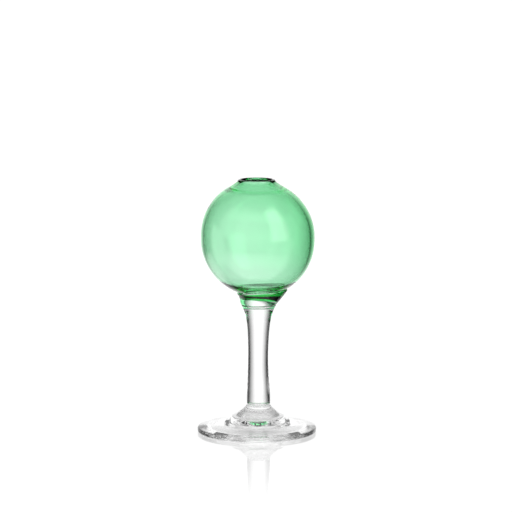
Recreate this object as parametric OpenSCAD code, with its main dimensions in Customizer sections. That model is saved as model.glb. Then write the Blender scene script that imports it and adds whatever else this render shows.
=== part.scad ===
// Hand-blown footed globe vase: five hot-joined gathers of glass on one axis.
// A coloured bowl sits in a clear collar, on a drawn stem, a knop and a spread foot.
// Z is up, and the foot stands on Z = 0. Millimetres.

/* [Bowl] */
// Widest diameter of the blown globe
bowl_d = 100; // [75:1:140]
// Height of the straight belt between the globe's two round halves
bowl_belt = 3.4; // [0.2:0.2:12]
// Height of the globe's upper half, as if it closed over the mouth
bowl_crown = 49.3; // [38:0.1:70]
// Glass wall at the globe's widest line
bowl_wall = 3.4; // [1.5:0.1:4]
// Glass wall at the shoulder, where the neck begins
shoulder_wall = 4; // [2:0.1:6]
// Glass wall at its thinnest, halfway down the lower half
thin_wall = 2.2; // [1.2:0.1:3]
// Glass thickness at the bottom of the globe
bowl_floor = 5.5; // [2.5:0.1:9]

/* [Mouth] */
// Diameter of the throat that the stems pass
mouth_d = 27; // [18:0.2:36]
// Thickness of the fire-polished lip
lip_t = 3.2; // [2:0.1:5]
// How far the neck spreads out from the lip before it meets the globe
neck_flare = 7; // [4:0.1:9]
// Height of the lip's middle above the line where the neck meets the globe
neck_h = 4.8; // [3:0.1:8]
// Length of the straight throat below the lip's middle
throat_h = 1.8; // [1:0.1:2.4]

/* [Collar] */
// Diameter of the collar's rim
collar_d = 44.6; // [38:0.2:56]
// Thickness of the collar's rounded rim
collar_rim = 2.6; // [1.2:0.1:3.6]
// Angle by which the hand-set collar leans on the globe, in degrees
collar_lean = 4; // [0:0.5:6]
// Glass between the top of the stem and the bottom of the globe
collar_base = 8; // [5:0.1:12]

/* [Stem] */
// Length of the stem
stem_h = 88.2; // [70:0.2:130]
// Diameter where the flared stem meets the collar
stem_top_d = 30.8; // [25:0.2:35]
// Diameter of the flare halfway through its curve
flare_d = 21.2; // [19:0.1:25]
// Height of the flare's curve below the top of the stem
flare_h = 14.6; // [10:0.1:20]
// Narrowest diameter of the stem
waist_d = 17.9; // [12:0.1:18.8]
// Height of the narrowest part above the knop
waist_rise = 40.6; // [25:0.1:45]
// Diameter of the swelling above the knop
swell_d = 20.8; // [16:0.1:24]
// Height of the swelling above the knop
swell_rise = 6.2; // [4:0.1:12]
// Diameter of the pinched joint between stem and knop
pinch_d = 20.4; // [14:0.1:24]

/* [Knop] */
// Height of the knop
knop_h = 11.6; // [8:0.1:16]
// Diameter of the knop where it turns out into its skirt
knop_d = 40; // [32:0.2:50]
// Width of the skirt that laps onto the foot, beyond the knop
skirt_w = 2.9; // [1:0.1:5]
// Thickness of the skirt's rounded edge
skirt_t = 1.2; // [0.8:0.1:2.4]

/* [Foot] */
// Diameter of the foot
foot_d = 104.8; // [84:0.2:130]
// Height of the foot's flat middle, where the knop sits
foot_h = 13; // [9:0.1:18]
// Height of the foot's rim
rim_h = 4.2; // [3:0.1:6]
// Radius of the rounding on the rim's two edges
rim_round = 1.2; // [0.5:0.1:1.4]
// Width of the flat ring that the foot stands on
stand_w = 9; // [5:0.5:14]
// Height of the hollow under the foot
dish_h = 7.5; // [0.6:0.1:7.6]
// Diameter of the polished pontil mark under the foot
pontil_d = 18; // [12:0.5:26]
// Depth of the pontil mark
pontil_h = 0.8; // [0.3:0.1:1]

/* [Hidden] */
arc_steps = 14;         // flats in a quarter of the globe
curve_steps = 6;        // flats in each stretch of a drawn curve
collar_sides = 96;      // flats around the collar
thin_a = 45;            // angle below the globe's widest line where its wall is thinnest
bowl_green = [0.25, 0.85, 0.42, 0.55];
clear_glass = [0.90, 0.94, 0.92, 0.45];

// Heights, from the foot up.
knop_top = foot_h + knop_h;
stem_top = knop_top + stem_h;
bowl_bottom = stem_top + collar_base;
lower_z = bowl_bottom + bowl_d / 2;     // centre of the globe's lower half
upper_z = lower_z + bowl_belt;          // centre of its upper half

// Points on an oval round (cx, cz), from angle a0 to a1.
function oval(cx, cz, rx, rz, a0, a1, n) =
    [for (i = [0:n]) let (a = a0 + (a1 - a0) * i / n) [cx + rx * cos(a), cz + rz * sin(a)]];

// A cubic curve from p to q that leaves along u and arrives along v.
function cubic(p, u, q, v, t) =
    (2*t*t*t - 3*t*t + 1) * p + (t*t*t - 2*t*t + t) * u
    + (3*t*t - 2*t*t*t) * q + (t*t*t - t*t) * v;
function bend(p, u, q, v, n) = [for (i = [1:n-1]) cubic(p, u, q, v, i / n)];

// A smooth curve through a list of stations.
function slope(s, i) = (s[min(i + 1, len(s) - 1)] - s[max(i - 1, 0)]) / 2;
function drawn(s, n) = concat(
    [for (i = [0:len(s)-2], j = [0:n-1]) cubic(s[i], slope(s, i), s[i+1], slope(s, i+1), j / n)],
    [s[len(s)-1]]);

// The globe, as outlines of its outside and its inside.
bowl_r = bowl_d / 2;
lip_r = (mouth_d + lip_t) / 2;                  // radius of the lip's middle
shoulder_r = mouth_d / 2 + lip_t + neck_flare;  // radius where the neck begins
outer_a = acos(shoulder_r / bowl_r);
lip_z = upper_z + bowl_crown * sin(outer_a) + neck_h;
globe_outside = concat(
    oval(0, lower_z, bowl_r, bowl_r, -90, 0, arc_steps),
    oval(0, upper_z, bowl_r, bowl_crown, 0, outer_a, round(arc_steps * outer_a / 90)));

// The wall thickens from the widest line up to the shoulder. Downwards it thins,
// and then it swells into the heavy bottom. Inside points lie that far in along the radius.
function ease(t) = t * t * (3 - 2 * t);
function upper_wall(a) = bowl_wall + (shoulder_wall - bowl_wall) * ease(a / outer_a);
function lower_wall(a) = a > -thin_a
    ? bowl_wall + (thin_wall - bowl_wall) * ease(-a / thin_a)
    : thin_wall + (bowl_floor - thin_wall) * ease((-a - thin_a) / (90 - thin_a));
globe_inside = concat(
    [for (i = [0:arc_steps]) let (a = outer_a * (1 - i / arc_steps), w = upper_wall(a))
        [(bowl_r - w) * cos(a), upper_z + (bowl_crown - w) * sin(a)]],
    [for (i = [0:arc_steps]) let (a = -90 * i / arc_steps, w = lower_wall(a))
        [(bowl_r - w) * cos(a), lower_z + (bowl_r - w) * sin(a)]]);

// The neck rises from the globe to the lip, a round bead, and falls into the throat.
module bowl() {
    lip = oval(lip_r, lip_z, lip_t / 2, lip_t / 2, 0, 180, 12);
    throat = [mouth_d / 2, lip_z - throat_h];
    shoulder = globe_outside[len(globe_outside) - 1];
    outside = bend(shoulder, neck_flare * [-sin(outer_a), cos(outer_a)],
        lip[0], neck_h * [-0.7, 0.8], curve_steps);
    inside = bend(throat, neck_h * [0, -0.8],
        globe_inside[0], neck_flare * [sin(outer_a), -cos(outer_a)], curve_steps);
    color(bowl_green)
    rotate_extrude()
        polygon(concat(globe_outside, outside, lip, [throat], inside, globe_inside));
}

// The globe's outside as a solid, which shapes the collar's cup.
module globe_solid() {
    rotate_extrude()
        polygon(concat(globe_outside, [[0, upper_z + bowl_crown * sin(outer_a)]]));
}

// The collar's rim is a bead laid round the globe, a little off level.
// Below it the glass tapers to the top of the stem.
module collar() {
    bead_r = collar_d / 2 - collar_rim / 2;
    bead_drop = sqrt(bowl_r * bowl_r - collar_d * collar_d / 4);
    sliver = 0.01;
    color(clear_glass)
    difference() {
        hull() {
            translate([0, 0, lower_z])
            rotate([0, -collar_lean, 0])
            translate([0, 0, -bead_drop - collar_rim / 2])
            rotate_extrude($fn = collar_sides)
            translate([bead_r, 0])
                circle(d = collar_rim, $fn = 16);
            translate([0, 0, stem_top])
                cylinder(d = stem_top_d, h = sliver, $fn = collar_sides);
        }
        globe_solid();
    }
}

// The stem is drawn out by hand: a swelling, a long waist and a flared top.
module stem() {
    foot_z = knop_top + swell_rise;
    waist_z = knop_top + waist_rise;
    flare_z = stem_top - flare_h;
    waist_r = waist_d / 2;
    stations = [
        [pinch_d / 2, knop_top],
        [swell_d / 2, foot_z],
        [waist_r + (swell_d - waist_d) / 6, (waist_z + foot_z) / 2],
        [waist_r, waist_z],
        [waist_r + (flare_d - waist_d) / 8, waist_z + (flare_z - waist_z) * 0.55],
        [flare_d / 2, flare_z],
        [flare_d / 2 + (stem_top_d - flare_d) * 0.22, flare_z + flare_h * 0.6],
        [stem_top_d / 2, stem_top]];
    color(clear_glass)
    rotate_extrude()
        polygon(concat([[0, knop_top]], drawn(stations, curve_steps), [[0, stem_top]]));
}

// The knop joins the stem to the foot and turns out into a thin skirt.
module knop() {
    edge_r = skirt_t / 2;
    turn = [knop_d / 2, foot_h + skirt_t];
    flank = bend([pinch_d / 2, knop_top], knop_h * [0, -0.65],
        turn, knop_h * [0.5, -0.7], 2 * curve_steps);
    skirt = oval(knop_d / 2 + skirt_w - edge_r, foot_h + edge_r, edge_r, edge_r, 90, -90, 8);
    color(clear_glass)
    rotate_extrude()
        polygon(concat([[0, foot_h], [0, knop_top], [pinch_d / 2, knop_top]], flank, [turn], skirt));
}

// The foot is a spread disc with a blunt rim, hollowed and polished underneath.
module foot() {
    foot_r = foot_d / 2;
    rim_r = foot_r - rim_round;
    stand_in = rim_r - stand_w;
    seat = [knop_d / 2 + skirt_w, foot_h];
    top_rim = oval(rim_r, rim_h - rim_round, rim_round, rim_round, 75, 0, 6);
    low_rim = oval(rim_r, rim_round, rim_round, rim_round, 0, -90, 6);
    run = foot_r - seat[0];
    top = bend(seat, run * [1, -0.5], top_rim[0], run * [1, -0.18], 2 * curve_steps);
    dish = [for (i = [1:curve_steps]) let (t = i / curve_steps)
        [stand_in + (pontil_d / 2 - stand_in) * t, dish_h * sin(90 * t)]];
    pontil = oval(0, dish_h, pontil_d / 2, pontil_h, 0, 90, curve_steps);
    color(clear_glass)
    rotate_extrude()
        polygon(concat([[0, foot_h], seat], top, top_rim, low_rim, [[stand_in, 0]], dish, pontil));
}

bowl();
collar();
stem();
knop();
foot();
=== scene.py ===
# %% [markdown]
# # A hand-blown globe vase
#
# This lesson dresses a vase in glass. The design comes as a fixed frame of five plain
# solids: the bowl, the collar, the stem, the knop and the foot. Each gets a glass piece
# that takes its place, with the smooth skin, the uneven wall and the slight wander that
# a blower's hands leave.

# %% Load the frame
import math

import bpy
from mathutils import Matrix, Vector


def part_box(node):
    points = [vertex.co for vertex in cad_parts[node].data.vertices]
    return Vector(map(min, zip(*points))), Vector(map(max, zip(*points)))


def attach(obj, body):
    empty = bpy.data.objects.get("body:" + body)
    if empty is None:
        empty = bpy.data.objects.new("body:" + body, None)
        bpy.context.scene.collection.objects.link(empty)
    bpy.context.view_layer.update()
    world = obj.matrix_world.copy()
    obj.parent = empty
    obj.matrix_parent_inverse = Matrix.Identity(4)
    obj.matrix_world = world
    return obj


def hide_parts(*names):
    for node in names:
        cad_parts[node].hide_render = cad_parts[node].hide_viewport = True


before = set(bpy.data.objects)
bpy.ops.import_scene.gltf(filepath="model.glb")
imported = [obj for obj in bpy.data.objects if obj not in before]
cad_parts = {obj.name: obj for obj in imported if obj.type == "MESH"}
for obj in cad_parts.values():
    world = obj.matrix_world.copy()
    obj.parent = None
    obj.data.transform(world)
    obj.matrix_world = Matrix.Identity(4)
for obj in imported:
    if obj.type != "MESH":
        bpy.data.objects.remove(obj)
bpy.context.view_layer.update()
MM = 0.001


def corners(node):
    """The lowest and highest corner of a node, in millimetres."""
    low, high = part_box(node)
    return Vector(low) / MM, Vector(high) / MM


for node in sorted(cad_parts):
    low, high = corners(node)
    print(f"{node}: {tuple(round(c, 1) for c in low)} to {tuple(round(c, 1) for c in high)} mm")

# %% [markdown]
# ## The sizes that the frame gives
#
# Every overall height and width is read from the frame, so the glass fits the design.
# Only what a box can't say, such as a wall inside the bowl or the waist of the stem,
# is written here as a number of its own.

# %% Sizes from the frame
bowl_low, bowl_high = corners("bowl")
collar_low, collar_high = corners("collar")
stem_high = corners("stem")[1]
knop_high = corners("knop")[1]
foot_high = corners("foot")[1]
BOWL_R = bowl_high.x
COLLAR_R = (collar_high.y - collar_low.y) / 2
STEM_TOP_R = stem_high.x
SKIRT_R = knop_high.x
FOOT_R = foot_high.x
SEAT = foot_high.z              # where the knop sits on the foot
KNOP_TOP = knop_high.z
STEM_TOP = stem_high.z
LOWER_Z = bowl_low.z + BOWL_R   # centre of the globe's lower half
print(f"globe {2 * BOWL_R:.1f} mm across, stem {STEM_TOP - KNOP_TOP:.1f} mm long, foot {2 * FOOT_R:.1f} mm")

# %% [markdown]
# ## Outlines
#
# Round glass is an outline turned about an axis. The outline could be traced point by
# point, but glass shows every kink as a bright or dark line. Arcs and smooth curves need
# only a few numbers each and keep the bends even, so they are used for every piece.


# %% Curves for the outlines
def arc(cx, cz, rx, rz, start, end, steps):
    """Points on an oval round (cx, cz), from one angle to another, in degrees."""
    turns = [math.radians(start + (end - start) * i / steps) for i in range(steps + 1)]
    return [(cx + rx * math.cos(a), cz + rz * math.sin(a)) for a in turns]


def cubic(p, u, q, v, t):
    """A point on the curve from p to q that leaves along u and arrives along v."""
    a, b, c, d = 2*t**3 - 3*t**2 + 1, t**3 - 2*t**2 + t, 3*t**2 - 2*t**3, t**3 - t**2
    return tuple(a * p[i] + b * u[i] + c * q[i] + d * v[i] for i in (0, 1))


def bend(p, u, q, v, steps):
    """The points between p and q on such a curve, without its two ends."""
    return [cubic(p, u, q, v, i / steps) for i in range(1, steps)]


def drawn(stations, steps):
    """A smooth curve through a list of stations, as a hot stem is drawn out."""
    last = len(stations) - 1
    ways = []
    for i in range(last + 1):
        a, b = stations[max(i - 1, 0)], stations[min(i + 1, last)]
        ways.append(((b[0] - a[0]) / 2, (b[1] - a[1]) / 2))
    points = []
    for i in range(last):
        for j in range(steps):
            points.append(cubic(stations[i], ways[i], stations[i + 1], ways[i + 1], j / steps))
    return points + [stations[-1]]


def ease(t):
    """Goes from 0 to 1 with a soft start and a soft end."""
    return t * t * (3 - 2 * t)


print(f"a quarter of the way along, an eased slope has risen by {ease(0.25):.2f}")

# %% [markdown]
# ## Turning an outline
#
# A lathe could be had from a modifier too. Here the outline is drawn in edit mode, one
# vertex extruded from the last, and spun round the axis, because the result is a plain
# mesh that can be worked on. Spin leaves a double row where it closes and a bunch of
# vertices at each pole, so doubles are merged before the normals are set outwards.

# %% Turn an outline into a piece
SIDES = 96
DOUBLES = 0.002         # points closer than this are merged


def only(piece):
    """Deselects everything else and makes one piece active."""
    bpy.ops.object.select_all(action="DESELECT")
    piece.select_set(True)
    bpy.context.view_layer.objects.active = piece


def turn(name, outline):
    """Draws an outline from (radius, height) pairs in millimetres and spins it once round."""
    bpy.ops.object.select_all(action="DESELECT")
    bpy.ops.mesh.primitive_plane_add(size=MM, location=(0, 0, 0))
    piece = bpy.context.object
    piece.name = piece.data.name = name
    bpy.ops.object.mode_set(mode="EDIT")
    bpy.ops.mesh.select_all(action="SELECT")
    bpy.ops.mesh.merge(type="CENTER")
    here = (0.0, 0.0)
    for i, (r, z) in enumerate(outline):
        step = ((r - here[0]) * MM, 0, (z - here[1]) * MM)
        if i == 0:
            bpy.ops.transform.translate(value=step)
        else:
            bpy.ops.mesh.extrude_region_move(TRANSFORM_OT_translate={"value": step})
        here = (r, z)
    bpy.ops.mesh.select_all(action="SELECT")
    bpy.ops.mesh.spin(steps=SIDES, angle=math.tau, center=(0, 0, 0), axis=(0, 0, 1))
    bpy.ops.mesh.select_all(action="SELECT")
    bpy.ops.mesh.remove_doubles(threshold=DOUBLES * MM)
    bpy.ops.mesh.normals_make_consistent(inside=False)
    bpy.ops.object.mode_set(mode="OBJECT")
    print(f"{name}: {len(outline)} points spun into {len(piece.data.polygons)} faces")
    return piece


def smooth(piece):
    """Rounds the facets away with one subdivision and shades the piece smooth."""
    only(piece)
    finer = piece.modifiers.new("finer", "SUBSURF")
    finer.levels = finer.render_levels = 1
    bpy.ops.object.modifier_apply(modifier=finer.name)
    bpy.ops.object.shade_smooth()
    print(f"{piece.name}: {len(piece.data.polygons)} faces when smooth")


print(f"every outline is spun in {SIDES} steps")

# %% [markdown]
# ## The two glasses
#
# Glass has no colour of its own on the skin. The green sits in the depth, so the bowl is
# palest where its wall is thin and deepest where light runs along the wall. A tinted
# surface can't do that, but Volume Absorption can: it takes away red most, then blue,
# and hardly any green. The ripple in the skin is what the flame leaves when it polishes.

# %% Green glass and clear glass
IOR = 1.5
GREEN = (0.20, 0.86, 0.46, 1)
DEPTH = 185             # how fast the colour deepens along the way through the glass
BOWL_RIPPLE = (0.0002, 30)      # depth in metres, and waves to a metre
CLEAR_RIPPLE = (0.0001, 60)


def glass(name, ripple, ripple_scale):
    """Fire-polished glass with a faint ripple in its skin."""
    material = bpy.data.materials.new(name)
    material.use_nodes = True
    nodes, links = material.node_tree.nodes, material.node_tree.links
    shader = nodes["Principled BSDF"]
    shader.inputs["Base Color"].default_value = (1, 1, 1, 1)
    shader.inputs["Roughness"].default_value = 0.0
    shader.inputs["IOR"].default_value = IOR
    shader.inputs["Transmission Weight"].default_value = 1.0
    place = nodes.new("ShaderNodeTexCoord")
    noise = nodes.new("ShaderNodeTexNoise")
    noise.inputs["Scale"].default_value = ripple_scale
    noise.inputs["Detail"].default_value = 1.0
    bump = nodes.new("ShaderNodeBump")
    bump.inputs["Distance"].default_value = ripple
    links.new(place.outputs["Object"], noise.inputs["Vector"])
    links.new(noise.outputs["Fac"], bump.inputs["Height"])
    links.new(bump.outputs["Normal"], shader.inputs["Normal"])
    print(f"{name}: ripple {ripple / MM:.2f} mm deep, about {1 / ripple_scale / MM:.0f} mm long")
    return material


green_glass = glass("spring_green_glass", *BOWL_RIPPLE)
clear_glass = glass("water_clear_glass", *CLEAR_RIPPLE)
nodes, links = green_glass.node_tree.nodes, green_glass.node_tree.links
depth = nodes.new("ShaderNodeVolumeAbsorption")
depth.inputs["Color"].default_value = GREEN
depth.inputs["Density"].default_value = DEPTH
links.new(depth.outputs["Volume"], nodes["Material Output"].inputs["Volume"])

# %% [markdown]
# ## Sums inside a material
#
# A mask or a fading light is a sum of coordinates. In a material every sum is a Math node.
# They could be placed and wired one by one, but a helper that takes plain numbers or other
# nodes' results keeps each mask short enough to read.


# %% A helper for Math nodes
def math_node(tree, kind, *values):
    """A Math node in a node tree, on numbers or on other nodes' results."""
    node = tree.nodes.new("ShaderNodeMath")
    node.operation = kind
    for socket, value in zip(node.inputs, values):
        if isinstance(value, (int, float)):
            socket.default_value = value
        else:
            tree.links.new(value, socket)
    return node.outputs["Value"]


print(f"{green_glass.name} has {len(green_glass.node_tree.nodes)} nodes so far")

# %% [markdown]
# ## Fused joins
#
# Where two clear gathers were joined hot, the glass is one and nothing is seen. The pieces
# stay closed solids, so their touching faces get a material that lets light straight on.
# Those faces are level and lie at the height of a join, so both are tested.

# %% Fused joins
FUSED_SLOT = 1
LEVEL = 0.999           # a face is level when its normal's height is more than this
NEAR_JOIN = 0.02        # how close to a join's height a face has to be
fused = bpy.data.materials.new("fused_join")
fused.use_nodes = True
nodes, links = fused.node_tree.nodes, fused.node_tree.links
nodes.remove(nodes["Principled BSDF"])
straight = nodes.new("ShaderNodeBsdfTransparent")
links.new(straight.outputs["BSDF"], nodes["Material Output"].inputs["Surface"])
print(f"{fused.name} lets light straight on")


def make_of(piece, material, node, joins=()):
    """Gives a piece its glass, clears its level faces at the joins, and seats it in the frame."""
    piece.data.materials.clear()
    piece.data.materials.append(material)
    if joins:
        piece.data.materials.append(fused)
    for face in piece.data.polygons:
        level = abs(face.normal.z) > LEVEL
        if level and any(abs(face.center.z / MM - z) < NEAR_JOIN for z in joins):
            face.material_index = FUSED_SLOT
    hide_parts(node)
    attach(piece, "root")


# %% [markdown]
# ## The bowl
#
# The bowl is one bubble of green glass. Its wall is thin and uneven, as blowing leaves it:
# thinnest halfway down, thicker at the shoulder where the neck was necked in, and thick at
# the bottom where the gather was. The lip is a round bead, melted smooth by the flame.

# %% The bowl's outline
BELT = 3.4              # straight stretch between the globe's two round halves
CROWN = 49.3            # height of the upper half, as if it closed
MOUTH_R = 13.5
LIP_T = 3.2
NECK_FLARE = 7.0
INTO_LIP = (-0.7, 0.8)  # slope of the neck where it reaches the lip, in shares of its height
THROAT = 1.8            # length of the straight throat below the lip's middle
WALL = 3.4              # at the widest line
UPPER_WALL = 3.6        # where it would end if it thickened evenly up to the shoulder
SHOULDER_WALL = 4.0
THIN_WALL = 2.2
THIN_A = 45             # degrees below the widest line where the wall is thinnest
NECKED_A = 54           # degrees above it where the shoulder starts to thicken
FLOOR = 5.5             # glass at the very bottom
ROUND_STEPS = 26
NECK_STEPS = 8
LIP_STEPS = 10
upper_z = LOWER_Z + BELT
lip_z = bowl_high.z - LIP_T / 2
lip_r = MOUTH_R + LIP_T / 2
shoulder_a = math.degrees(math.acos((MOUTH_R + LIP_T + NECK_FLARE) / BOWL_R))


def wall_at(a):
    """The wall's thickness at an angle above or below the widest line."""
    if a > 0:
        rising = max(0.0, (a - NECKED_A) / (shoulder_a - NECKED_A))
        even = WALL + (UPPER_WALL - WALL) * a / shoulder_a
        return even + (SHOULDER_WALL - UPPER_WALL) * ease(rising)
    if a > -THIN_A:
        return WALL + (THIN_WALL - WALL) * ease(-a / THIN_A)
    return THIN_WALL + (FLOOR - THIN_WALL) * ease((-a - THIN_A) / (90 - THIN_A))


def inside_at(a, centre, height):
    """A point on the inside of the globe."""
    turned = math.radians(a)
    r = (BOWL_R - wall_at(a)) * math.cos(turned)
    return (r, centre + (height - wall_at(a)) * math.sin(turned))


outside = arc(0, LOWER_Z, BOWL_R, BOWL_R, -90, 0, ROUND_STEPS)
outside += arc(0, upper_z, BOWL_R, CROWN, 0, shoulder_a, ROUND_STEPS)
lip = arc(lip_r, lip_z, LIP_T / 2, LIP_T / 2, 0, 180, LIP_STEPS)
throat = (MOUTH_R, lip_z - THROAT)
shares = [i / ROUND_STEPS for i in range(ROUND_STEPS + 1)]
inside = [inside_at(shoulder_a * (1 - share), upper_z, CROWN) for share in shares]
inside += [inside_at(-90 * share, LOWER_Z, BOWL_R) for share in shares]
rise = lip_z - outside[-1][1]
sway_out = NECK_FLARE * math.sin(math.radians(shoulder_a))
sway_up = NECK_FLARE * math.cos(math.radians(shoulder_a))
into_lip = (INTO_LIP[0] * rise, INTO_LIP[1] * rise)
neck = bend(outside[-1], (-sway_out, sway_up), lip[0], into_lip, NECK_STEPS)
gullet = bend(throat, (0, -into_lip[1]), inside[0], (sway_out, -sway_up), NECK_STEPS)
print(f"neck {rise:.1f} mm high, lip at {lip_z:.1f} mm, wall {THIN_WALL} to {FLOOR} mm")

# %% Spin the bowl
bowl = turn("glass_bowl", outside + neck + lip + [throat] + gullet + inside)

# %% [markdown]
# ## A bubble off centre
#
# A blown bubble is never quite in the middle of its glass, so one side of the globe is a
# little thicker and greener. The points of the inside are picked by how deep they lie
# under the globe's skin, and are moved together. Turning them about another axis from the
# start would leave the throat off centre too.

# %% Move the bubble to the left
OFF_CENTRE = 0.6
DEEP = 0.98             # share of the globe's size that a point of the inside stays under
BELOW, ABOVE = 1.0, 0.1         # how far past the ends of the inside a point may lie
only(bowl)
bpy.ops.object.mode_set(mode="EDIT")
bpy.ops.mesh.select_all(action="DESELECT")
bpy.ops.object.mode_set(mode="OBJECT")
shifted = 0
for vertex in bowl.data.vertices:
    r, z = vertex.co.xy.length / MM, vertex.co.z / MM
    centre = min(max(z, LOWER_Z), upper_z)
    half_height = CROWN if z > upper_z else BOWL_R
    deep = math.hypot(r / BOWL_R, (z - centre) / half_height) < DEEP
    if deep and inside[-1][1] - BELOW < z < inside[0][1] + ABOVE:
        vertex.select = True
        shifted += 1
bpy.ops.object.mode_set(mode="EDIT")
bpy.ops.transform.translate(value=(-OFF_CENTRE * MM, 0, 0))
bpy.ops.object.mode_set(mode="OBJECT")
print(f"{shifted} of {len(bowl.data.vertices)} points moved {OFF_CENTRE} mm")
smooth(bowl)
make_of(bowl, green_glass, "bowl")

# %% [markdown]
# ## The collar
#
# The collar is the clear bit that carries the bowl. Its rim is a round bead laid against
# the globe, a few degrees off level. It is turned level first. Then each ring is rotated
# about the globe's centre, the rim fully and the rings below it less and less, so the cup
# still follows the globe. The cup laps into the bowl by a hair, so no gap is left.

# %% Turn the collar
BEAD = 1.3              # radius of the rim's bead
LEAN = 4.0              # degrees
LAP = 0.05              # how far the cup laps into the bowl
BEAD_FROM = -35         # where on the bead the flank meets it, in degrees
FLANK_OUT = (5, 10)     # the way the flank leaves the stem's top
FLANK_IN = (7, 10)      # and the way it reaches the bead
RIM_STEPS, CUP_STEPS, FLANK_STEPS = 9, 12, 8
bead_r = COLLAR_R - BEAD
bead_z = LOWER_Z - math.sqrt(BOWL_R ** 2 - COLLAR_R ** 2) - BEAD
reach = math.hypot(bead_r, LOWER_Z - bead_z)
inwards = math.degrees(math.atan2(LOWER_Z - bead_z, -bead_r))
spread = math.degrees(math.acos((reach ** 2 + BEAD ** 2 - BOWL_R ** 2) / (2 * reach * BEAD)))
rim = arc(bead_r, bead_z, BEAD, BEAD, BEAD_FROM, inwards - spread, RIM_STEPS)
cup_from = math.degrees(math.atan2(rim[-1][1] - LOWER_Z, rim[-1][0]))
cup = arc(0, LOWER_Z, BOWL_R - LAP, BOWL_R - LAP, cup_from, -90, CUP_STEPS)
flank = bend((STEM_TOP_R, STEM_TOP), FLANK_OUT, rim[0], FLANK_IN, FLANK_STEPS)
base = [(0, STEM_TOP), (STEM_TOP_R / 2, STEM_TOP), (STEM_TOP_R, STEM_TOP)]
collar = turn("glass_collar", base + flank + rim + cup)
print(f"cup reaches {90 + cup_from:.1f} degrees round from the bottom of the globe")

# %% Lean its rim
CUP_CLOSE = 0.02        # how far a point of the cup may lie off the cup's round
only(collar)
rings = {}
for vertex in collar.data.vertices:
    z = vertex.co.z / MM
    on_cup = abs((vertex.co - Vector((0, 0, LOWER_Z * MM))).length / MM - BOWL_R + LAP) < CUP_CLOSE
    share = 1.0 if on_cup else min(1.0, max(0.0, (z - STEM_TOP) / (rim[0][1] - STEM_TOP)))
    rings.setdefault(round(ease(share), 3), []).append(vertex.index)
bpy.ops.object.mode_set(mode="EDIT")
for share, members in sorted(rings.items()):
    if share == 0:
        continue
    bpy.ops.mesh.select_all(action="DESELECT")
    bpy.ops.object.mode_set(mode="OBJECT")
    for index in members:
        collar.data.vertices[index].select = True
    bpy.ops.object.mode_set(mode="EDIT")
    bpy.ops.transform.rotate(value=math.radians(LEAN * share), orient_axis="Y",
                             center_override=(0, 0, LOWER_Z * MM))
bpy.ops.object.mode_set(mode="OBJECT")
high = max(collar.data.vertices, key=lambda v: v.co.z).co
print(f"{len(rings)} rings leaned, highest point at x {high.x / MM:.1f}, z {high.z / MM:.1f} mm")
smooth(collar)
make_of(collar, clear_glass, "collar", joins=[STEM_TOP])

# %% [markdown]
# ## The stem
#
# A stem is drawn out of a hot gather with the jacks. It isn't a straight rod: it swells
# just above the knop, narrows to a waist, and flares where it was joined to the collar.
# A smooth curve through a few stations gives that better than a cylinder would.

# %% Turn the stem
PINCH_R, SWELL_R, WAIST_R, FLARE_R = 10.2, 10.4, 8.95, 10.6
SWELL_RISE = 6.2        # heights of the swelling and of the waist above the knop
WAIST_RISE = 40.6
FLARE_H = 14.6
OPENING = 0.55          # share of the way from waist to flare where the stem starts to open
HALF_FLARED = (0.44, 0.6)       # a station in the flare, in shares of its width and height
DRAWN_STEPS = 8
swell_z = KNOP_TOP + SWELL_RISE
waist_z = KNOP_TOP + WAIST_RISE
flare_z = STEM_TOP - FLARE_H
stations = [
    (PINCH_R, KNOP_TOP),
    (SWELL_R, swell_z),
    (WAIST_R + (SWELL_R - WAIST_R) / 3, (waist_z + swell_z) / 2),
    (WAIST_R, waist_z),
    (WAIST_R + (FLARE_R - WAIST_R) / 4, waist_z + (flare_z - waist_z) * OPENING),
    (FLARE_R, flare_z),
    (FLARE_R + (STEM_TOP_R - FLARE_R) * HALF_FLARED[0], flare_z + FLARE_H * HALF_FLARED[1]),
    (STEM_TOP_R, STEM_TOP),
]
stem_foot = [(0, KNOP_TOP), (PINCH_R / 2, KNOP_TOP)]
stem_head = [(STEM_TOP_R / 2, STEM_TOP), (0, STEM_TOP)]
stem = turn("glass_stem", stem_foot + drawn(stations, DRAWN_STEPS) + stem_head)
smooth(stem)
make_of(stem, clear_glass, "stem", joins=[KNOP_TOP, STEM_TOP])

# %% [markdown]
# ## The knop
#
# The knop is the bit that joins the stem to the foot. It sweeps out in a hollow curve and
# ends in a thin skirt that lapped onto the foot while it was soft.

# %% Turn the knop
KNOP_R = 20.0
SKIRT_T = 1.2
FLAT_R = 12             # a ring in the flat face keeps it flat when the piece is smoothed
KNOP_DOWN = (0, -7.5)   # the way the knop's flank leaves the stem
KNOP_OUT = (5.8, -8.1)  # and the way it runs out into the skirt
KNOP_STEPS, SKIRT_STEPS = 16, 8
turn_out = (KNOP_R, SEAT + SKIRT_T)
knop_flank = bend((PINCH_R, KNOP_TOP), KNOP_DOWN, turn_out, KNOP_OUT, KNOP_STEPS)
edge = SKIRT_T / 2
skirt = arc(SKIRT_R - edge, SEAT + edge, edge, edge, 90, -90, SKIRT_STEPS)
knop_top = [(0, SEAT), (0, KNOP_TOP), (PINCH_R / 2, KNOP_TOP), (PINCH_R, KNOP_TOP)]
knop_seat = [(FLAT_R, SEAT), (0, SEAT)]
knop = turn("glass_knop", knop_top + knop_flank + [turn_out] + skirt + knop_seat)
smooth(knop)
make_of(knop, clear_glass, "knop", joins=[SEAT, KNOP_TOP])

# %% [markdown]
# ## The foot
#
# The foot was a bubble, opened and spun flat, so it is a shallow dome: hollow underneath,
# with a ring that it stands on and a dimple where the pontil rod broke away. The jacks
# left low rings on its upper side near the knop. They are part of the outline. The dimple
# was ground on a wheel, so its skin is rough. A mask from the distance to the axis does
# that, so the foot keeps one glass on all its skin.

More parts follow.
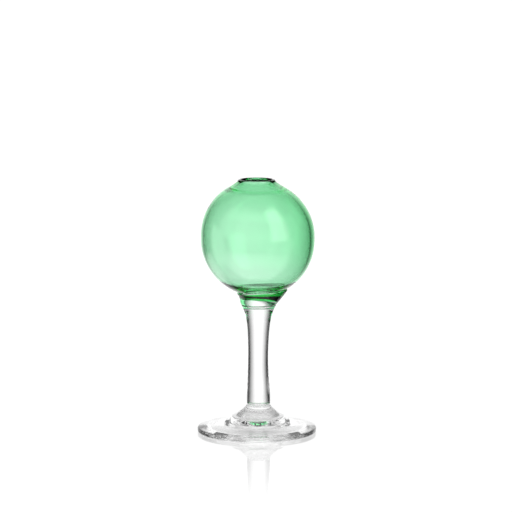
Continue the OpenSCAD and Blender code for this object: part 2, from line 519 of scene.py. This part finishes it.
# %% Turn the foot
RIM_ROUND, RIM_H = 1.2, 4.2
STAND_W = 9.0
DISH_H = 7.5
PONTIL_R, PONTIL_H = 9.0, 0.8
GROUND_R = 16.0         # the wheel leaves the glass matt a little way round the dimple
TOOL_RINGS = [(27.0, 0.16), (32.0, 0.10)]     # radius and height of each ring
RING_W = 1.6
SEAT_SLOPE, RIM_SLOPE = -0.5, -0.18     # how steeply the top leaves the knop and reaches the rim
RIM_FROM = 75           # where on the rim's rounding the top meets it, in degrees
TOP_STEPS, EDGE_STEPS, DISH_STEPS, MARK_STEPS = 40, 6, 12, 8
rim_r = FOOT_R - RIM_ROUND
stand_in = rim_r - STAND_W
top_rim = arc(rim_r, RIM_H - RIM_ROUND, RIM_ROUND, RIM_ROUND, RIM_FROM, 0, EDGE_STEPS)
low_rim = arc(rim_r, RIM_ROUND, RIM_ROUND, RIM_ROUND, 0, -90, EDGE_STEPS)
run = FOOT_R - SKIRT_R
leaving, reaching = (run, SEAT_SLOPE * run), (run, RIM_SLOPE * run)
slope = bend((SKIRT_R, SEAT), leaving, top_rim[0], reaching, TOP_STEPS)
top = []
for r, z in slope:
    ridge = sum(h * math.exp(-((r - at) / RING_W) ** 2) for at, h in TOOL_RINGS)
    top.append((r, z + ridge))
dish = []
for i in range(1, DISH_STEPS + 1):
    share = i / DISH_STEPS
    dish.append((stand_in + (PONTIL_R - stand_in) * share, DISH_H * math.sin(math.pi / 2 * share)))
pontil = arc(0, DISH_H, PONTIL_R, PONTIL_H, 0, 90, MARK_STEPS)
seat = [(0, SEAT), (FLAT_R, SEAT), (SKIRT_R, SEAT)]
foot = turn("glass_foot", seat + top + top_rim + low_rim + [(stand_in, 0)] + dish + pontil)
smooth(foot)

# %% Grind the pontil mark
GROUND_ROUGH = 0.4
UNDERSIDE = DISH_H + 1.5        # the mark lies below this height, the seat above it
foot_glass = glass("ground_clear_glass", *CLEAR_RIPPLE)
tree = foot_glass.node_tree
place = tree.nodes.new("ShaderNodeTexCoord")
spot = tree.nodes.new("ShaderNodeSeparateXYZ")
tree.links.new(place.outputs["Object"], spot.inputs["Vector"])
x_squared = math_node(tree, "POWER", spot.outputs["X"], 2)
y_squared = math_node(tree, "POWER", spot.outputs["Y"], 2)
across = math_node(tree, "SQRT", math_node(tree, "ADD", x_squared, y_squared))
near_axis = math_node(tree, "LESS_THAN", across, GROUND_R * MM)
low_down = math_node(tree, "LESS_THAN", spot.outputs["Z"], UNDERSIDE * MM)
marked = math_node(tree, "MULTIPLY", near_axis, low_down)
ground = math_node(tree, "MULTIPLY", marked, GROUND_ROUGH)
tree.links.new(ground, tree.nodes["Principled BSDF"].inputs["Roughness"])
print(f"ground {2 * GROUND_R:.0f} mm across, roughness {GROUND_ROUGH}")
make_of(foot, foot_glass, "foot", joins=[SEAT])

# %% [markdown]
# ## The wander of the axis
#
# No two gathers are joined quite in line. A lattice that spans the whole vase pushes its
# levels a millimetre or so sideways, and every piece goes through the same lattice, so
# the joins still meet. Moving each piece by itself would open gaps.

# %% Shift the levels with one lattice
# Heights, and how far the axis has wandered to the right there, in millimetres.
DRIFT = [(0, 0.0), (6, 0.0), (14, 0.9), (25, 1.5), (60, 1.1), (112, 1.6), (172, 0.8), (224, -0.3)]
LEVELS = 57
CAGE_W = 2.2 * FOOT_R   # a little wider than the foot


def drift_at(z):
    """How far the axis has wandered to the right at a height, in millimetres."""
    for (z0, d0), (z1, d1) in zip(DRIFT, DRIFT[1:]):
        if z <= z1:
            return d0 + (d1 - d0) * ease((z - z0) / (z1 - z0))
    return DRIFT[-1][1]


bpy.ops.object.select_all(action="DESELECT")
bpy.ops.object.add(type="LATTICE", location=(0, 0, bowl_high.z / 2 * MM))
cage = bpy.context.object
cage.data.points_u = cage.data.points_v = 2
cage.data.points_w = LEVELS
cage.scale = (CAGE_W * MM, CAGE_W * MM, bowl_high.z * MM)
for point in cage.data.points:
    height = (point.co.z + 0.5) * bowl_high.z
    point.co_deform.x += drift_at(height) * MM / cage.scale.x
bpy.context.view_layer.update()
glass_pieces = [bowl, collar, stem, knop, foot]
for piece in glass_pieces:
    only(piece)
    wander = piece.modifiers.new("wander", "LATTICE")
    wander.object = cage
    bpy.ops.object.modifier_apply(modifier=wander.name)
only(cage)
bpy.ops.object.delete()
print(f"axis wanders up to {max(d for z, d in DRIFT):.1f} mm over {LEVELS} levels")

# %% [markdown]
# ## Where the bowl sits in its collar
#
# The bowl and the collar are one glass inside the cup too, but only the bowl is coloured,
# so its skin can't be taken away: the colour has to start somewhere. Instead the bowl's
# skin stays and loses its bend there, with an index of one, and the cup's faces let light
# straight on. A mask in Object coordinates picks the leaned cap that the cup covers.

# %% Fuse the cup and the bowl
CAP_A = 25.8            # half the angle of the cap, seen from the globe's centre
CUP_SLACK = 0.12        # how far a cup face may lie off the cup's round
SKIN = 0.5              # how deep the mask reaches into the bowl's glass
cap_cos = math.cos(math.radians(CAP_A))
cap_centre = Vector((drift_at(bowl_low.z), 0, LOWER_Z)) * MM
cap_axis = Vector((math.sin(math.radians(LEAN)), 0, -math.cos(math.radians(LEAN))))
hidden = 0
for face in collar.data.polygons:
    off = (face.center - cap_centre) / MM
    on_cup = abs(off.length - BOWL_R + LAP) < CUP_SLACK
    if on_cup and off.normalized().dot(cap_axis) > cap_cos:
        face.material_index = FUSED_SLOT
        hidden += 1
tree = green_glass.node_tree
place = tree.nodes.new("ShaderNodeTexCoord")
off = tree.nodes.new("ShaderNodeVectorMath")
off.operation = "SUBTRACT"
off.inputs[1].default_value = cap_centre
far = tree.nodes.new("ShaderNodeVectorMath")
far.operation = "LENGTH"
along = tree.nodes.new("ShaderNodeVectorMath")
along.operation = "DOT_PRODUCT"
along.inputs[1].default_value = cap_axis
tree.links.new(place.outputs["Object"], off.inputs[0])
tree.links.new(off.outputs["Vector"], far.inputs[0])
tree.links.new(off.outputs["Vector"], along.inputs[0])
skin = math_node(tree, "GREATER_THAN", far.outputs["Value"], (BOWL_R - SKIN) * MM)
below = math_node(tree, "GREATER_THAN", along.outputs["Value"], BOWL_R * cap_cos * MM)
capped = math_node(tree, "MULTIPLY", skin, below)
bend_here = math_node(tree, "MULTIPLY_ADD", capped, 1 - IOR, IOR)
tree.links.new(bend_here, tree.nodes["Principled BSDF"].inputs["IOR"])
print(f"{hidden} faces of the cup let light straight on")

# %% [markdown]
# ## The floor
#
# Glass is shown on a sheet of white acrylic that glows as the wall behind it does, so the
# two run together with no line. The sheet is glossy: it mirrors the foot and the stem, and
# the mirror image fades with distance. Seen through glass it glows only under the foot,
# and further out it lets light pass, so the glass takes its look from the soft lights.

# %% A round sheet
FLOOR_R = 1.5           # metres
FLOOR_SIDES = 128
bpy.ops.object.select_all(action="DESELECT")
bpy.ops.mesh.primitive_circle_add(
    vertices=FLOOR_SIDES, radius=FLOOR_R, fill_type="NGON", location=(0, 0, 0))
floor = bpy.context.object
floor.name = "floor"
sheet = bpy.data.materials.new("white_acrylic")
sheet.use_nodes = True
nodes, links = sheet.node_tree.nodes, sheet.node_tree.links
nodes.remove(nodes["Principled BSDF"])
place = nodes.new("ShaderNodeTexCoord")
away = nodes.new("ShaderNodeVectorMath")
away.operation = "LENGTH"
links.new(place.outputs["Object"], away.inputs[0])
print(f"{floor.name} {2 * FLOOR_R:.1f} m across")

# %% [markdown]
# ## The sheet's two looks
#
# One look is for the camera and one is for light that comes through the glass. A Light
# Path node tells them apart. Both carry the same mirror, which is strongest at a low
# angle, as on any polished sheet, and which fades with the distance from the foot.


# %% Helpers for the sheet
def faded(near, far, at_near, at_far):
    """A value that changes evenly between two distances from the middle of the floor."""
    node = nodes.new("ShaderNodeMapRange")
    node.inputs["From Min"].default_value = near
    node.inputs["From Max"].default_value = far
    node.inputs["To Min"].default_value = at_near
    node.inputs["To Max"].default_value = at_far
    links.new(away.outputs["Value"], node.inputs["Value"])
    return node.outputs["Result"]


def mixed(share, first, second):
    """A Mix Shader of two shaders."""
    node = nodes.new("ShaderNodeMixShader")
    links.new(share, node.inputs["Fac"])
    links.new(first, node.inputs[1])
    links.new(second, node.inputs[2])
    return node.outputs["Shader"]


print(f"{sheet.name} has {len(nodes)} nodes so far")

# %% The glossy white sheet
WHITE = 1.1
UNDER = 0.7             # glow of the sheet under the foot, seen through the glass
UNDER_FADE = (0.05, 0.08, 1.0, 0.0)     # from and to, in metres, then its share at each
MIRROR_FADE = (0.05, 0.33, 1.3, 0.0)
SHEET_ROUGH = 0.02
glow = nodes.new("ShaderNodeEmission")
glow.inputs["Strength"].default_value = WHITE
under_glow = nodes.new("ShaderNodeEmission")
under_glow.inputs["Strength"].default_value = UNDER
open_way = nodes.new("ShaderNodeBsdfTransparent")
mirror = nodes.new("ShaderNodeBsdfGlossy")
mirror.inputs["Roughness"].default_value = SHEET_ROUGH
gloss = nodes.new("ShaderNodeFresnel")
gloss.inputs["IOR"].default_value = IOR
share = math_node(sheet.node_tree, "MULTIPLY", faded(*MIRROR_FADE), gloss.outputs["Fac"])
share.node.use_clamp = True
seen = nodes.new("ShaderNodeLightPath")
under = mixed(faded(*UNDER_FADE), open_way.outputs["BSDF"], under_glow.outputs["Emission"])
through_glass = mixed(share, under, mirror.outputs["BSDF"])
straight_at = mixed(share, glow.outputs["Emission"], mirror.outputs["BSDF"])
sheet_look = mixed(seen.outputs["Is Camera Ray"], through_glass, straight_at)
links.new(sheet_look, nodes["Material Output"].inputs["Surface"])
floor.data.materials.append(sheet)
print(f"sheet glows at {WHITE}, mirror gone {MIRROR_FADE[1]} m out")

# %% [markdown]
# ## Light for glass
#
# Clear glass on white shows only by its dark edges. So the light is a bright field: a wide
# soft panel behind the vase, with dark gaps beside it, which the curved edges pick up.
# Soft lights in front add the pale glow on the bowl. Each light is a patch of the
# world's sky with soft borders, given by a bearing, a height and a brightness. So the
# first step is to work out the bearing and the height of a direction, in degrees.

# %% Bearing and height in the sky
world = bpy.data.worlds.new("studio")
bpy.context.scene.world = world
world.use_nodes = True
nodes, links = world.node_tree.nodes, world.node_tree.links


def sky(kind, *values):
    """A Math node in the sky's tree."""
    return math_node(world.node_tree, kind, *values)


def soft_edge(value, dark, bright):
    """0 at the dark end and 1 at the bright end, with a soft change between them."""
    node = nodes.new("ShaderNodeMapRange")
    node.interpolation_type = "SMOOTHSTEP"
    low, high = min(dark, bright), max(dark, bright)
    node.inputs["From Min"].default_value = low
    node.inputs["From Max"].default_value = high
    node.inputs["To Min"].default_value = 0 if dark < bright else 1
    node.inputs["To Max"].default_value = 1 if dark < bright else 0
    links.new(value, node.inputs["Value"])
    return node.outputs["Result"]


coords = nodes.new("ShaderNodeTexCoord")
way = nodes.new("ShaderNodeSeparateXYZ")
links.new(coords.outputs["Generated"], way.inputs["Vector"])
bearing = sky("MULTIPLY", sky("ARCTAN2", way.outputs["X"], way.outputs["Y"]), math.degrees(1))
height = sky("MULTIPLY", sky("ARCSINE", way.outputs["Z"]), math.degrees(1))
print("bearing 0 is behind the vase, 180 is where the camera stands")

# %% [markdown]
# ## One panel and then many
#
# A panel is the product of three soft edges: across, below and above. Lamps could light
# the vase too, but glass shows the shape of every lamp, and a sky has no hard corners.
# Where panels overlap the brighter one counts, so a new panel never dims another.


# %% Soft panels
def panel(middle, half, fade_out, low, high, brightness):
    """A soft panel at a bearing: half its width, its soft border, and its heights in degrees."""
    off = sky("ABSOLUTE", sky("WRAP", sky("SUBTRACT", bearing, middle), 180, -180))
    across = soft_edge(off, half + fade_out, half)
    up_and_down = sky("MULTIPLY", soft_edge(height, *low), soft_edge(height, *high))
    return sky("MULTIPLY", sky("MULTIPLY", across, up_and_down), brightness)


PANELS = {
    "behind": panel(0, 5, 45, (-50, -30), (50, 30), 1.12),
    "left": panel(-45, 15, 14, (-50, -36), (-14, -20), 0.9),
    "far_left": panel(-90, 12, 14, (-44, -28), (16, 6), 1.0),
    "right": panel(135, 20, 20, (-40, -28), (2, -6), 1.0),
    "window": panel(135, 10, 20, (-12, 0), (70, 50), 3.0),
    "left_glow": panel(-112, 12, 20, (-8, 4), (60, 45), 0.8),
    "front_fill": panel(180, 35, 40, (-30, 5), (80, 40), 1.3),
    "front_table": panel(180, 60, 30, (-91, -90), (-8, -30), 1.5),
    "table": panel(0, 180, 1, (-91, -90), (-40, -60), 0.25),
}
light = 0.0
for name, glow_of in PANELS.items():
    light = sky("MAXIMUM", light, glow_of)
print(f"{len(PANELS)} soft panels: {', '.join(PANELS)}")

# %% [markdown]
# ## The white wall
#
# The camera has to see plain white all round the vase, and the glass has to see the
# panels. A Light Path node gives each its own sky, as it did for the sheet.

# %% The white wall that the camera sees
seen = nodes.new("ShaderNodeLightPath")
level = nodes.new("ShaderNodeMix")
level.data_type = "FLOAT"
links.new(seen.outputs["Is Camera Ray"], level.inputs["Factor"])
links.new(light, level.inputs["A"])
level.inputs["B"].default_value = WHITE
links.new(level.outputs["Result"], nodes["Background"].inputs["Strength"])
nodes["Background"].inputs["Color"].default_value = (1, 1, 1, 1)
print(f"the wall behind the vase shows at {WHITE}")

# %% [markdown]
# ## The camera
#
# A long lens from well back keeps the ellipses of the lip and the foot flat, as in a
# catalogue picture. It looks down by about eight degrees, at the globe's lower half.

# %% Camera
eye = Vector((-0.0008, -2.667, 0.53295))
aim = Vector((-0.0008, 0, 0.15625))
camera_data = bpy.data.cameras.new("camera")
camera = bpy.data.objects.new("camera", camera_data)
bpy.context.collection.objects.link(camera)
bpy.context.scene.camera = camera
camera.location = eye
camera.rotation_euler = (aim - eye).to_track_quat("-Z", "Y").to_euler()
camera_data.lens = 215.7
camera_data.sensor_width = 36
camera_data.clip_end = 20
print(f"camera {(aim - eye).length:.2f} m away, {camera_data.lens} mm lens")

# %% [markdown]
# ## How far light is followed
#
# A ray crosses four skins in the bowl alone and bounces many times inside a solid stem.
# With too few bounces such rays end black, so the limits are raised for glass.

# %% Light paths and colours
bpy.context.scene.view_settings.view_transform = "Standard"
cycles = bpy.context.scene.cycles
cycles.max_bounces = 24
cycles.transmission_bounces = 24
cycles.glossy_bounces = 12
cycles.transparent_max_bounces = 32
print(f"a ray may bounce {cycles.max_bounces} times")
